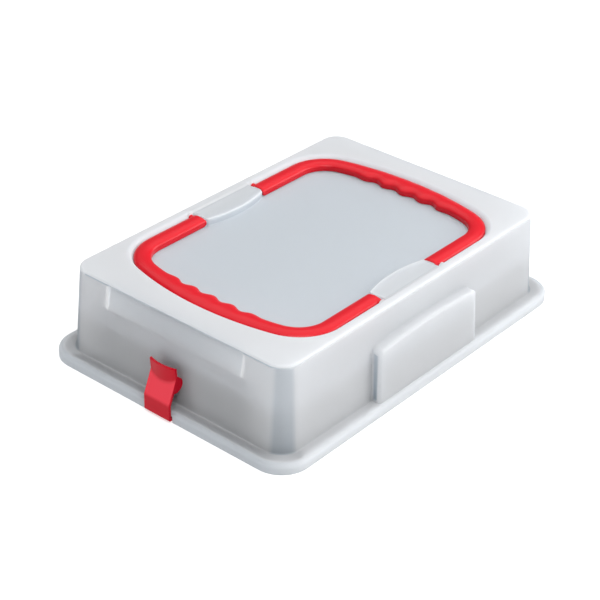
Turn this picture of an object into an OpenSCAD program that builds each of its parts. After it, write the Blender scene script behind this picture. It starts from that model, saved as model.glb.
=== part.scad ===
// Rectangular cake pan stored upside down under its carrying hood.
// The hood folds two U-shaped handles into its sunken top and locks to the
// pan's rim with a clip at the middle of each short side.
// X runs along the long sides, Y along the short sides, Z up from the table.

/* [Hood] */
// Length over the bottom flange
flange_l = 420; // [380:1:480]
// Width over the bottom flange
flange_w = 296; // [270:1:340]
// Height from the table to the rim of the sunken top
hood_h = 96; // [84:1:120]
// Wall thickness of the hood moulding
hood_t = 2; // [1.6:0.1:2.4]
// Corner radius of the flange
flange_r = 30; // [26:1:40]
// Height of the flange
flange_h = 10; // [9.5:0.5:12]
// Radius of the flange's rounded outer edge
lip_r = 3.5; // [2.6:0.1:4.5]
// Width of the flat shelf between the flange's edge and the wall
shelf_w = 13.8; // [12.5:0.1:16]
// Corner radius of the wall at its foot
wall_r = 24; // [22:1:32]
// Lean of the walls, in degrees
draft = 4.1; // [3:0.1:5]
// Radius of the rounding between wall and rim
rim_r = 4.5; // [3:0.1:6]

/* [Sunken top] */
// Width of the rim at each end of the sunken top, at the middle
rim_end_w = 29.1; // [20:0.1:40]
// Width of the rim along each long side of the sunken top
rim_side_w = 12; // [10:0.5:20]
// Depth of the sunken top below the rim
well_depth = 9.2; // [9:0.1:11]
// Radius of the bowed short sides of the sunken top
well_bow_r = 310; // [260:5:500]
// Corner radius of the sunken top
well_corner_r = 46.7; // [40:0.1:56]
// Radius of the rounding between the rim and the sunken top
well_edge_r = 5; // [3:0.1:5.4]

/* [Hinge islands] */
// Length of an island between the handles' arms
island_l = 79.6; // [74:0.2:80]
// Width of an island at its ends
island_end_w = 17.6; // [15:0.2:20]
// Further width that an island gains at its middle
island_bulge = 6; // [3:0.5:9]
// Drop of an island's top below the rim
island_drop = 1.4; // [1:0.1:2.5]

/* [Side blocks] */
// Length of the raised block on each long side
block_l = 149; // [110:1:170]
// Distance that the block stands out at its foot
block_out = 9.6; // [7.5:0.1:9.8]
// Height of the block's ends above the table
block_end_h = 63.5; // [50:0.5:68]
// Rise of the block's arched top
block_arch = 4; // [2:0.5:8]
// Radius of the block's upright edges
block_edge_r = 3; // [2.2:0.1:4]
// Radius of the block's upper corners, seen from the front
block_corner_r = 3.5; // [2.2:0.1:5]
// Lean of the block's face, in degrees
block_draft = 3.2; // [2:0.1:4]

/* [End bands] */
// Length of the recessed band at the top of each short side
band_l = 162; // [120:2:180]
// Height of the band's lower edge above the table
band_bottom_h = 68; // [60:1:74]
// Depth of the band under the rim
band_depth = 2.6; // [1.5:0.1:3]
// Distance between the rim and the top of the band
band_top_gap = 5; // [4.6:0.1:7]

/* [Handles] */
// Width of a handle's arm
arm_w = 16.6; // [14:0.2:18]
// Thickness of a handle from its underside to its crest
handle_t = 8.5; // [8:0.1:9]
// Thickness of a handle at its outer and inner edges
handle_edge_t = 5.4; // [4.5:0.1:6]
// Extra width at the middle of the grip
grip_swell = 4.7; // [0:0.1:5.5]
// Distance between finger waves on the grip
wave_pitch = 24.5; // [20:0.1:27]
// Height of a finger wave
wave_h = 1.85; // [0.8:0.05:2.2]
// Gap between a handle's edge and the side of the sunken top
handle_gap = 0.7; // [0.5:0.05:1]
// Gap between a handle's underside and the floor of the sunken top
handle_lift = 0.3; // [0.2:0.05:0.4]
// Distance of a handle's pivot from the middle of the hood
pivot_x = 45; // [44.6:0.1:50]
// Height of a handle's pivot above the handle's underside
pivot_up = 4.4; // [4.2:0.1:4.6]
// Reach of an arm past its pivot
arm_end = 3.5; // [3:0.1:3.7]
// Radius of a handle's pivot pins
handle_pin_r = 3; // [2.4:0.1:3.2]
// Length of a pivot pin outside the arm
handle_pin_l = 4; // [3:0.1:5]

/* [Clips] */
// Width of a clip
clip_w = 30.6; // [26:0.2:36]
// Thickness of a clip's plate
clip_t = 2.6; // [2.2:0.1:3]
// Gap between the clip's plate and the flange
clip_gap = 0.4; // [0.3:0.05:0.6]
// Height of the clip's bottom above the table
clip_bottom = 1.4; // [1:0.1:1.6]
// Height at which the clip starts to lean towards the wall
clip_bend_h = 18.5; // [16:0.5:20]
// Height of the waist, where the finger lip starts
clip_waist_h = 40.5; // [39:0.5:44]
// Height of the top of the finger lip
clip_top_h = 53.5; // [50:0.5:56]
// Distance that the clip leans in between bend and waist
clip_lean = 9.2; // [8:0.1:9.5]
// Outward lean of the finger lip, in degrees
lip_lean = 6; // [3:0.5:9]
// Bulge of the finger lip at its middle
lip_bulge = 1.5; // [1:0.1:2.2]
// Radius of the pivot lobe behind the plate
lobe_r = 7.8; // [7:0.1:7.9]
// Height of the clip's pivot above the table
clip_pivot_h = 35.5; // [34:0.5:37]
// Distance of the clip's pivot from the end of the flange
clip_pivot_in = 11; // [10.8:0.1:11.2]
// Width of a cheek of the clip
cheek_w = 5.3; // [4.8:0.1:5.6]
// Radius of the pivot bar on the hood
clip_bar_r = 2.2; // [1.8:0.1:2.4]
// Thickness of each rib that carries the pivot bar
bar_rib_t = 2.4; // [2:0.1:3]

/* [Pan] */
// Depth of the pan
pan_depth = 47; // [40:1:55]
// Thickness of the pan's sheet steel
pan_t = 0.8; // [0.6:0.1:1]
// Radius of the rolled rim
roll_r = 1.6; // [1.3:0.1:1.7]
// Lean of the pan's walls, in degrees
pan_draft = 9; // [7:0.5:12]
// Radius between the pan's wall and its base
pan_base_r = 7; // [5:0.5:10]
// Gap between the pan's wall and the hood's wall at the flange
pan_gap = 1.7; // [1.5:0.1:3]

/* [Fits] */
// Radial clearance of a pivot in its bore
pivot_fit = 0.06; // [0.03:0.01:0.1]
// Gap between surfaces that rest on each other
seat_gap = 0.3; // [0.2:0.05:0.35]

/* [Hidden] */
$fn = 64;

// Corner centres of the flange and of the wall
flange_cx = flange_l / 2 - flange_r;
flange_cy = flange_w / 2 - flange_r;
wall_foot_x = flange_l / 2 - shelf_w;
wall_foot_y = flange_w / 2 - shelf_w;
wall_cx = wall_foot_x - wall_r;
wall_cy = wall_foot_y - wall_r;
shelf_low = flange_h - hood_t;
wall_flat = hood_t / cos(draft);
rim_turn_z = hood_h - rim_r;
deck_low = hood_h - hood_t;

// Sunken top
well_x = wall_at(wall_foot_x, hood_h) - rim_end_w;
well_y = wall_at(wall_foot_y, hood_h) - rim_side_w;
floor_z = hood_h - well_depth;
floor_low = floor_z - hood_t;
bow_cx = well_x - well_bow_r;
island_r = (pow(island_l / 2, 2) + pow(island_bulge, 2)) / (2 * island_bulge);
// An island ends inside the rounded edge, a little past where that has its height
island_root = well_edge_r - sqrt(pow(well_edge_r, 2) - pow(well_edge_r - island_drop, 2)) + 0.2;

// Handles
handle_x = well_x - handle_gap;
handle_y = well_y - handle_gap;
handle_low = floor_z + handle_lift;
pivot_z = handle_low + pivot_up;
hinge_boss_r = hood_h - pivot_z - 0.1;
hinge_boss_l = handle_pin_l + 0.8;
hinge_boss_in = 0.6;
handle_pin_in = 2;

// Clips
clip_out = flange_l / 2 + clip_gap + clip_t;
clip_pivot_x = flange_l / 2 - clip_pivot_in;
clip_y = clip_w / 2;
cheek_y = clip_y - cheek_w;
bar_end_y = clip_y - 1.8;
lobe_x = clip_pivot_x + 3.8;
rib_y = cheek_y - 0.8;
rib_r = clip_bar_r + 1.2;
hook_reach = 9.4;
hook_slope = 0.6;
waist_x = clip_out - clip_lean;
lip_turn_r = (pow(clip_y, 2) + pow(lip_bulge, 2)) / (2 * lip_bulge);
notch_y = clip_y + 0.8;
notch_h = shelf_low - 1.4;

// Pan
hook_top = shelf_low - seat_gap - 2 * roll_r - seat_gap;
roll_z = shelf_low - seat_gap - roll_r;
roll_x = flange_l / 2 - hood_t - 2.2 - roll_r;
roll_y = flange_w / 2 - hood_t - 2.2 - roll_r;
pan_rim_z = roll_z + roll_r;
pan_foot_x = wall_foot_x - wall_flat - pan_gap;
pan_foot_y = wall_foot_y - wall_flat - pan_gap;
pan_foot_r = pan_foot_x - wall_cx;
pan_top_z = pan_rim_z + pan_depth;

// Outer half-length or corner radius of the wall at height z
function wall_at(foot, z) = foot - (z - flange_h) * tan(draft);

// Points on an arc, from angle a0 to a1
function arc(cx, cy, r, a0, a1, n) =
    [for (i = [0:n]) let (a = a0 + (a1 - a0) * i / n) [cx + r * cos(a), cy + r * sin(a)]];

// Rectangle with round corners about the centres (+-cx, +-cy)
module rounded(cx, cy, r) {
    square([2 * cx, 2 * (cy + r)], center = true);
    square([2 * (cx + r), 2 * cy], center = true);
    for (x = [-cx, cx], y = [-cy, cy])
        translate([x, y])
            circle(r);
}

// A section carried round a rounded rectangle; its x is the corner radius
module around(section, cx, cy) {
    for (side = [0, 180]) {
        rotate(side) {
            translate([cx, cy])
                rotate_extrude(angle = 90)
                    polygon(section);
            translate([-cx, cy])
                rotate(90)
                    rotate_extrude(angle = 90)
                        polygon(section);
            translate([cx, cy, 0])
                rotate([90, 0, 0])
                    linear_extrude(2 * cy)
                        polygon(section);
            translate([-cx, cy, 0])
                rotate([90, 0, 90])
                    linear_extrude(2 * cx)
                        polygon(section);
        }
    }
}

// The bowed outline of the sunken top, smaller by inset
function well_corner(inset) =
    let (r = well_corner_r - inset, bow = well_bow_r - inset)
    let (cy = well_y - inset - r)
    [bow_cx + sqrt(pow(bow - r, 2) - cy * cy), cy, asin(cy / (bow - r)), r, bow];

function well_quarter(inset) =
    let (c = well_corner(inset))
    concat(arc(bow_cx, 0, c[4], 0, c[2], 10), rest(arc(c[0], c[1], c[3], c[2], 90, 12)));

function flip(points, sx, sy) = [for (p = points) [sx * p[0], sy * p[1]]];

function backwards(points) = [for (i = [len(points) - 1:-1:0]) points[i]];

function rest(points) = [for (i = [1:len(points) - 1]) points[i]];

function well_points(inset) =
    let (quarter = well_quarter(inset))
    concat(
        quarter,
        backwards(flip(quarter, -1, 1)),
        rest(flip(quarter, -1, -1)),
        backwards(rest(flip(quarter, 1, -1)))
    );

module well_outline(inset = 0) {
    polygon(well_points(inset));
}

// Outline of the island at the -Y side, smaller by inset
module island_outline(inset = 0) {
    intersection() {
        translate([0, -well_y + island_end_w + island_bulge - island_r])
            circle(island_r - inset, $fn = 256);
        translate([-island_l / 2 + inset, -well_y - island_root])
            square([island_l - 2 * inset, island_root + island_end_w + island_bulge + 1]);
    }
}

// Section of the hood's wall, from the shelf to the rim
function wall_section() =
    let (turn = wall_at(wall_r, rim_turn_z) - rim_r / cos(draft))
    concat(
        [[wall_at(wall_r, shelf_low) - wall_flat, shelf_low], [wall_at(wall_r, shelf_low), shelf_low]],
        arc(turn, rim_turn_z, rim_r, draft, 90, 8),
        backwards(arc(turn, rim_turn_z, rim_r - hood_t, draft, 90, 8))
    );

// Section of the flange's rounded lip
function lip_section() =
    concat(
        [[flange_r - hood_t, 0], [flange_r, 0]],
        arc(flange_r - lip_r, flange_h - lip_r, lip_r, 0, 90, 6),
        backwards(arc(flange_r - lip_r, flange_h - lip_r, lip_r - hood_t, 0, 90, 6))
    );

module flange() {
    around(lip_section(), flange_cx, flange_cy);
    translate([0, 0, shelf_low])
        linear_extrude(hood_t)
            difference() {
                rounded(flange_cx, flange_cy, flange_r - lip_r);
                rounded(wall_cx, wall_cy, wall_at(wall_r, shelf_low) - wall_flat);
            }
}

// Section of the side of the sunken top, from its floor up to the rim; its x
// starts at the side's face and runs outwards from the middle
function well_side_section() =
    let (turn_z = hood_h - well_edge_r, end = well_edge_r + 1)
    concat(
        [[0, floor_low], [hood_t, floor_low]],
        arc(well_edge_r, turn_z, well_edge_r - hood_t, 180, 90, 4),
        [[end, deck_low], [end, hood_h]],
        arc(well_edge_r, turn_z, well_edge_r, 90, 180, 6)
    );

module well_side() {
    section = well_side_section();
    rings = len(section);
    places = len(well_points(0));
    points = [for (s = section, p = well_points(-s[0])) [p[0], p[1], s[1]]];
    faces = [for (i = [0:rings - 1], j = [0:places - 1])
        let (up = (i + 1) % rings, on = (j + 1) % places)
        [i * places + j, up * places + j, up * places + on, i * places + on]];
    polyhedron(points, faces, convexity = 10);
}

module deck() {
    turn = wall_at(wall_r, rim_turn_z) - rim_r / cos(draft);
    translate([0, 0, deck_low])
        linear_extrude(hood_t)
            difference() {
                rounded(wall_cx, wall_cy, turn);
                well_outline(-well_edge_r - 0.5);
            }
    well_side();
    translate([0, 0, floor_low])
        linear_extrude(hood_t)
            well_outline(-hood_t / 2);
}

module islands() {
    for (side = [0, 180])
        rotate(side) {
            translate([0, 0, floor_low])
                linear_extrude(well_depth + hood_t - island_drop)
                    difference() {
                        island_outline();
                        island_outline(hood_t);
                    }
            translate([0, 0, hood_h - island_drop - hood_t])
                linear_extrude(hood_t)
                    island_outline();
        }
}

module hinge_bosses() {
    for (x = [-pivot_x, pivot_x], side = [0, 180])
        rotate(side)
            translate([x, well_y + hinge_boss_in, pivot_z])
                rotate([-90, 0, 0])
                    cylinder(r = hinge_boss_r, h = hinge_boss_l - hinge_boss_in);
}

module hinge_bores() {
    for (x = [-pivot_x, pivot_x], side = [0, 180])
        rotate(side)
            translate([x, well_y - 1, pivot_z])
                rotate([-90, 0, 0])
                    cylinder(r = handle_pin_r + pivot_fit, h = hinge_boss_l + 2);
}

// Front view of a side block, smaller by inset; x along the hood, y up
module block_front(inset) {
    half = block_l / 2;
    rise = pow(half, 2) / (2 * block_arch) + block_arch / 2;
    corner = block_corner_r - inset;
    offset(r = corner)
        offset(delta = -corner)
            intersection() {
                translate([-half + inset, -corner])
                    square([2 * (half - inset), hood_h]);
                translate([0, block_end_h + block_arch - rise])
                    circle(rise - inset, $fn = 512);
            }
}

// A side block on the -Y wall, smaller by inset, from height low up; it reaches
// inwards to a plane that lies depth inside the wall's outer face
module block_solid(inset, low, depth) {
    foot = wall_foot_y + block_out - inset;
    top = foot - (hood_h - flange_h) * tan(block_draft);
    inner = wall_foot_y - depth;
    half = block_l / 2 - inset;
    edge = block_edge_r - inset / 2;
    intersection() {
        rotate([90, 0, 0])
            linear_extrude(foot)
                block_front(inset);
        translate([-half - 1, 0, 0])
            rotate([90, 0, 90])
                linear_extrude(2 * half + 2)
                    polygon([
                        [-wall_at(inner, low), low], [-wall_at(inner, hood_h), hood_h],
                        [-top, hood_h], [-foot, flange_h], [-foot, low]
                    ]);
        linear_extrude(hood_h)
            union() {
                translate([-half, -foot + edge])
                    square([2 * half, foot]);
                translate([-half + edge, -foot])
                    square([2 * (half - edge), edge]);
                for (x = [-half + edge, half - edge])
                    translate([x, -foot + edge])
                        circle(edge);
            }
    }
}

// Section of the band recessed into the +X wall, from its lower edge up
function band_section(inset) =
    let (top = hood_h - band_top_gap)
    let (low_x = wall_at(wall_foot_x, band_bottom_h) - inset)
    let (top_x = wall_at(wall_foot_x, top) - band_depth - inset)
    [[low_x, band_bottom_h], [top_x, top]];

module band_backs() {
    face = band_section(0);
    back = band_section(wall_flat);
    for (side = [0, 180])
        rotate(side)
            translate([0, band_l / 2 + hood_t, 0])
                rotate([90, 0, 0])
                    linear_extrude(band_l + 2 * hood_t)
                        polygon([
                            back[0], face[0], face[1],
                            [face[1][0], deck_low], [back[1][0], deck_low], back[1]
                        ]);
}

module band_cuts() {
    face = band_section(0);
    out_x = face[0][0] + 4;
    for (side = [0, 180])
        rotate(side)
            translate([0, band_l / 2, 0])
                rotate([90, 0, 0])
                    linear_extrude(band_l)
                        polygon([face[0], [out_x, face[0][1]], [out_x, face[1][1]], face[1]]);
}

// Ribs and bar on the +X wall that a clip turns on
module clip_pivot() {
    foot = wall_at(wall_foot_x, clip_pivot_h) - hood_t / 2;
    for (y = [-rib_y, rib_y - bar_rib_t])
        translate([0, y + bar_rib_t, 0])
            rotate([90, 0, 0])
                linear_extrude(bar_rib_t)
                    union() {
                        translate([clip_pivot_x, clip_pivot_h])
                            circle(rib_r);
                        translate([foot, clip_pivot_h - rib_r])
                            square([clip_pivot_x - foot, 2 * rib_r]);
                    }
    translate([clip_pivot_x, bar_end_y, clip_pivot_h])
        rotate([90, 0, 0])
            cylinder(r = clip_bar_r, h = 2 * bar_end_y);
}

module clip_notches() {
    for (side = [0, 180])
        rotate(side)
            translate([flange_l / 2 - hood_t - 1, -notch_y, -1])
                cube([hood_t + 2, 2 * notch_y, notch_h + 1]);
}

module lid() {
    color([0.93, 0.95, 0.97])
        difference() {
            union() {
                difference() {
                    union() {
                        around(wall_section(), wall_cx, wall_cy);
                        flange();
                        for (side = [0, 180])
                            rotate(side)
                                block_solid(0, shelf_low, wall_flat / 2);
                    }
                    for (side = [0, 180])
                        rotate(side)
                            block_solid(hood_t, shelf_low - 1, 3 * wall_flat);
                    band_cuts();
                }
                deck();
                islands();
                hinge_bosses();
                band_backs();
                clip_pivot();
                rotate(180)
                    clip_pivot();
            }
            hinge_bores();
            clip_notches();
        }
}

// Section of the pan, upside down: wall and base out to the corner centre
function pan_section() =
    let (lean = tan(pan_draft), out = pan_foot_r, turn_z = pan_top_z - pan_base_r)
    let (turn = out - (turn_z - pan_rim_z) * lean - pan_base_r / cos(pan_draft))
    concat(
        [[out - pan_t / cos(pan_draft), pan_rim_z - pan_t], [out, pan_rim_z - pan_t]],
        arc(turn, turn_z, pan_base_r, pan_draft, 90, 6),
        [[0, pan_top_z], [0, pan_top_z - pan_t]],
        backwards(arc(turn, turn_z, pan_base_r - pan_t, pan_draft, 90, 6))
    );

module pan() {
    color([0.2, 0.2, 0.22]) {
        around(pan_section(), wall_cx, wall_cy);
        translate([0, 0, pan_top_z - pan_t])
            linear_extrude(pan_t)
                square([2 * wall_cx, 2 * wall_cy], center = true);
        translate([0, 0, pan_rim_z - pan_t])
            linear_extrude(pan_t)
                difference() {
                    rounded(flange_cx, flange_cy, roll_x - flange_cx);
                    rounded(wall_cx, wall_cy, pan_foot_r - pan_t / cos(pan_draft));
                }
        around(arc(roll_x - flange_cx, roll_z, roll_r, 0, 345, 23), flange_cx, flange_cy);
    }
}

// Inner edge of the grip, measured in from its outer edge, at height y along it
function grip_width(y, reach) =
    let (last = 2 * wave_pitch, a = abs(y))
    let (swell = a < reach ? grip_swell * (1 + cos(180 * a / reach)) / 2 : 0)
    let (fade = a <= last ? 1 : a >= last + 14 ? 0 : (1 + cos(180 * (a - last) / 14)) / 2)
    let (wave = a <= last ? cos(360 * y / wave_pitch) : 1)
    arm_w + swell + wave_h * fade * wave;

// Stations along the outer edge of the left handle: x, y, outward x, outward y, width, low, top
function arm_stations() =
    let (c = well_corner(handle_gap), ends = [3.5, 3, 2.4, 1.6, 0.8, 0])
    concat(
        [for (t = ends)
            [-pivot_x + t * arm_end / ends[0], -handle_y, 0, -1, arm_w, end_low(t), end_top(t)]],
        [[-pivot_x - 12, -handle_y, 0, -1, arm_w, 0, handle_t]],
        [for (p = [0:1])
            [-pivot_x - 12 - (c[0] - pivot_x - 12) * (p + 1) / 3, -handle_y, 0, -1, arm_w, 0, handle_t]]
    );

// The arm's end is rounded so that it clears the floor as it turns
function end_low(t) = pivot_up - sqrt(pow(pivot_up, 2) - t * t);
function end_top(t) = handle_t - (t <= 1.6 ? 0 : pow((t - 1.6) / 1.9, 2) * 1.2);

function corner_stations() =
    let (c = well_corner(handle_gap), n = 11)
    [for (i = [0:n]) let (a = 270 - (90 - c[2]) * i / n)
        [-c[0] + c[3] * cos(a), -c[1] + c[3] * sin(a), cos(a), sin(a), arm_w, 0, handle_t]];

function bow_stations() =
    let (c = well_corner(handle_gap), n = 52, reach = c[4] * sin(c[2]))
    [for (i = [1:n - 1]) let (a = 180 + c[2] * (1 - 2 * i / n))
        let (y = c[4] * sin(a))
        [-bow_cx + c[4] * cos(a), y, cos(a), sin(a), grip_width(y, reach), 0, handle_t]];

function mirrored(stations) =
    [for (i = [len(stations) - 1:-1:0])
        let (s = stations[i])
        [s[0], -s[1], s[2], -s[3], s[4], s[5], s[6]]];

// Cross-section of a handle: distance in from the outer edge, and height
function handle_ring(w, low, top) =
    let (edge = min(handle_edge_t, top - 0.6))
    [
        [0.7, low], [0, low + 0.8], [0, edge - 0.7], [0.5, edge],
        [0.26 * w, edge + (top - edge) * 0.62], [0.38 * w, top - 0.25], [0.47 * w, top],
        [0.56 * w, top - 0.25], [0.7 * w, edge + (top - edge) * 0.62],
        [w - 0.5, edge], [w, edge - 0.7], [w, low + 0.8], [w - 0.7, low]
    ];

module handle_bar() {
    half = concat(arm_stations(), corner_stations());
    stations = concat(half, bow_stations(), mirrored(half));
    n = len(stations);
    ring = len(handle_ring(1, 0, 1));
    points = [for (s = stations, p = handle_ring(s[4], s[5], s[6]))
        [s[0] - s[2] * p[0], s[1] - s[3] * p[0], handle_low + p[1]]];
    sides = [for (i = [0:n - 2], j = [0:ring - 1]) let (k = (j + 1) % ring)
        [i * ring + j, (i + 1) * ring + j, (i + 1) * ring + k, i * ring + k]];
    first = [for (j = [0:ring - 1]) j];
    last = [for (j = [ring - 1:-1:0]) (n - 1) * ring + j];
    polyhedron(points, concat([first], sides, [last]), convexity = 10);
}

module handle_left() {
    color([0.88, 0.11, 0.16])
        union() {
            handle_bar();
            for (side = [-1, 1])
                translate([-pivot_x, side * (handle_y - handle_pin_in), pivot_z])
                    rotate([-90 * side, 0, 0])
                        cylinder(r = handle_pin_r, h = handle_pin_in + handle_pin_l);
        }
}

module handle_right() {
    rotate(180)
        handle_left();
}

// Side view of the clip's plate and hook at the +X end, x outwards and y up
module clip_plate_side() {
    hook_x = clip_out - hook_reach;
    polygon([
        [clip_out - 1, clip_bottom], [clip_out, clip_bottom + 1.2], [clip_out, clip_bend_h],
        [waist_x, clip_waist_h], [waist_x - clip_t, clip_waist_h],
        [clip_out - clip_t, clip_bend_h - 1.2], [clip_out - clip_t, hook_top],
        [clip_out - clip_t - 2.6, hook_top], [hook_x, hook_top - hook_slope],
        [hook_x, hook_top - hook_slope - 0.8], [hook_x + 1.6, clip_bottom]
    ]);
}

// Side view of the lobe that the clip turns on
module clip_lobe_side() {
    intersection() {
        translate([lobe_x, clip_pivot_h])
            circle(lobe_r);
        polygon([
            [clip_out - 1, clip_bend_h + 2.4], [waist_x - 0.4, clip_waist_h], [waist_x, clip_top_h],
            [clip_pivot_x - 20, clip_top_h], [clip_pivot_x - 20, clip_bend_h]
        ]);
    }
}

// The finger lip: a slice of a wide tube that leans outwards
module clip_lip() {
    intersection() {
        translate([waist_x + lip_bulge - lip_turn_r, 0, clip_waist_h])
            rotate([0, lip_lean, 0])
                translate([0, 0, -clip_top_h / 2])
                    difference() {
                        cylinder(r = lip_turn_r, h = clip_top_h, $fn = 256);
                        translate([0, 0, -1])
                            cylinder(r = lip_turn_r - clip_t, h = clip_top_h + 2, $fn = 256);
                    }
        translate([0, clip_y, 0])
            rotate([90, 0, 0])
                linear_extrude(clip_w)
                    polygon([
                        [clip_out - clip_t, clip_bend_h], [clip_out + clip_t, clip_bend_h],
                        [clip_out + clip_t, clip_top_h], [waist_x - 2 * clip_t, clip_top_h],
                        [waist_x - clip_t, clip_waist_h]
                    ]);
    }
}

module clip_right() {
    color([0.75, 0.09, 0.16])
        difference() {
            union() {
                translate([0, clip_y, 0])
                    rotate([90, 0, 0])
                        linear_extrude(clip_w)
                            clip_plate_side();
                clip_lip();
                for (y = [-clip_y, cheek_y])
                    translate([0, y + cheek_w, 0])
                        rotate([90, 0, 0])
                            linear_extrude(cheek_w)
                                clip_lobe_side();
            }
            translate([clip_pivot_x, bar_end_y + seat_gap, clip_pivot_h])
                rotate([90, 0, 0])
                    cylinder(r = clip_bar_r + pivot_fit, h = 2 * (bar_end_y + seat_gap));
        }
}

module clip_left() {
    rotate(180)
        clip_right();
}

pan();
lid();
handle_left();
handle_right();
clip_left();
clip_right();
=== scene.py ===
import math

import bpy
import numpy as np
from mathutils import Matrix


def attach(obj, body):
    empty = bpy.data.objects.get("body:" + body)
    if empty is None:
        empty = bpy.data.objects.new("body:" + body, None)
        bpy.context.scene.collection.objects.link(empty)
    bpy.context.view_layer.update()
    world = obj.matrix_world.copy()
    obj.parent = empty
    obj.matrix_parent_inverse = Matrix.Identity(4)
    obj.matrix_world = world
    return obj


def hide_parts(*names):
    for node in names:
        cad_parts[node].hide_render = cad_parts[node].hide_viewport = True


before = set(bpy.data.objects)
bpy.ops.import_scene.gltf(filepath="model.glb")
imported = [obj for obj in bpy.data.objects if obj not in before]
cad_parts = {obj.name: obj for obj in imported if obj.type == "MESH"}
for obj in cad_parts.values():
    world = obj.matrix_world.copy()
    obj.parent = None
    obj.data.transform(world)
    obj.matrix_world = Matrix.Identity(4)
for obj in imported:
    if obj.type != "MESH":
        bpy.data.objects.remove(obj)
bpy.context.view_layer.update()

# Baking pan
# The pan is pressed from one sheet of steel, drafted so that pans stack, with its rim rolled over
# for stiffness, and coated non-stick. It is stored upside down in the hood, rim downwards.
MM = 0.001
# The corners' centres on the body and the flange, and how far out the stations of a long and of a
# short side stay in place on every outline.
body_centre = (172.2, 110.2)
flange_centre = (180.0, 118.0)
fixed_to = (78.0, 84.0)
pan_sheet = 0.8
pan_depth = 47.0
pan_draft = math.tan(math.radians(9))
pan_base_r = 7.0
pan_foot = 20.295
pan_fillet = 2.5
roll_r = 1.6
roll_at = (204.2, 6.1)
roll_tip_degrees = -235
rim_top = 7.7
coating_black = (0.035, 0.036, 0.04)
coating_fleck = (0.075, 0.077, 0.082)


def trip_round(side_y, side_x, corner_steps=14):
    """A closed trip round a rectangle, anticlockwise from the lower end of the +X side.

    Each place on it is a row: the side's number (0 for +X, then anticlockwise), the angle past that
    side's outward direction, and the columns of side_y (for the short sides) or side_x (for the
    long sides), whose first column is the station along the side. Corners repeat the side's last
    station and turn the angle."""
    angle = np.linspace(0, np.pi / 2, corner_steps + 1)[1:-1]
    rows = []
    for side in range(4):
        stations = side_y if side % 2 == 0 else side_x
        count = len(stations)
        straight = np.column_stack([np.full(count, side), np.zeros(count), stations])
        last = np.repeat(stations[-1:], len(angle), 0)
        rows += [straight, np.column_stack([np.full(len(angle), side), angle, last])]
    return np.concatenate(rows)


def turned(side, outward, along):
    """Coordinates outward from a side and along it, turned to x and y by the side's number of
    quarter turns."""
    turn = side * np.pi / 2
    return (outward * np.cos(turn) - along * np.sin(turn),
            outward * np.sin(turn) + along * np.cos(turn))


def stretched(station, keep, last, end):
    """Stations up to keep stay in place, and those beyond spread evenly so that last is at end."""
    size = np.abs(station)
    beyond = np.maximum(size - keep, 0) / (last - keep)
    return np.sign(station) * (np.minimum(size, keep) + beyond * (end - keep))


def round_outline(trip, centre, radius):
    """The trip's points on a rectangle with corners of that radius about (+-centre x, +-centre y).

    A point is the corner's centre, or the station on a straight side, plus the radius: outwards by
    the radius times the cosine of the angle, and along the side by the radius times its sine."""
    side, angle, station = trip[:, 0], trip[:, 1], trip[:, 2]
    short = side % 2 == 0
    last = np.where(short, np.abs(station[short]).max(), np.abs(station[~short]).max())
    keep = np.where(short, fixed_to[1], fixed_to[0])
    outward = np.where(short, centre[0], centre[1]) + radius * np.cos(angle)
    end = np.where(short, centre[1], centre[0])
    along = stretched(station, keep, last, end) + radius * np.sin(angle)
    return turned(side, outward, along)


def arc_angles(start, end, count):
    """Evenly spaced angles of an arc whose start and end are given in degrees."""
    return np.radians(np.linspace(start, end, count))


def ring_faces(rows, places):
    """Four-sided faces between neighbouring rows of a closed grid, facing outwards as rows rise."""
    row, place = np.meshgrid(np.arange(rows - 1), np.arange(places), indexing="ij")
    here, onward = row * places + place, row * places + (place + 1) % places
    return np.stack([here, onward, onward + places, here + places], -1).reshape(-1, 4)


def surface(name, points, faces, material, sharp=35):
    """A smooth mesh piece from points in millimetres; edges sharper than that angle stay crisp."""
    mesh = bpy.data.meshes.new(name)
    mesh.from_pydata((np.asarray(points) * MM).tolist(), [], [list(map(int, f)) for f in faces])
    mesh.validate()
    mesh.shade_smooth()
    mesh.set_sharp_from_angle(angle=math.radians(sharp))
    mesh.materials.append(material)
    piece = bpy.data.objects.new(name, mesh)
    bpy.context.scene.collection.objects.link(piece)
    return piece


def shell_of_rows(name, rows, material, sharp=35):
    """Rows of a closed grid joined into one skin that ends in a point amid the last row."""
    grid = np.stack(rows)
    count, places = grid.shape[:2]
    faces = ring_faces(count, places).tolist()
    tip = count * places
    last = (count - 1) * places
    faces += [[last + i, last + (i + 1) % places, tip] for i in range(places)]
    points = np.concatenate([grid.reshape(-1, 3), grid[-1].mean(0)[None]])
    return surface(name, points, faces, material, sharp)


def principled(name, colour, roughness):
    """A material with one Principled shader, returned with its node tree and shader."""
    material = bpy.data.materials.new(name)
    material.use_nodes = True
    tree = material.node_tree
    shader = tree.nodes["Principled BSDF"]
    shader.inputs["Base Color"].default_value = (*colour, 1)
    shader.inputs["Roughness"].default_value = roughness
    return material, tree, shader


def colour_mix(tree, share, first, second):
    """A mix of two colours by the value of an output. The first may be an output too."""
    mix = tree.nodes.new("ShaderNodeMix")
    mix.data_type = "RGBA"
    if isinstance(first, tuple):
        mix.inputs["A"].default_value = (*first, 1)
    else:
        tree.links.new(first, mix.inputs["A"])
    mix.inputs["B"].default_value = (*second, 1)
    tree.links.new(share, mix.inputs["Factor"])
    return mix.outputs["Result"]


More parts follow.
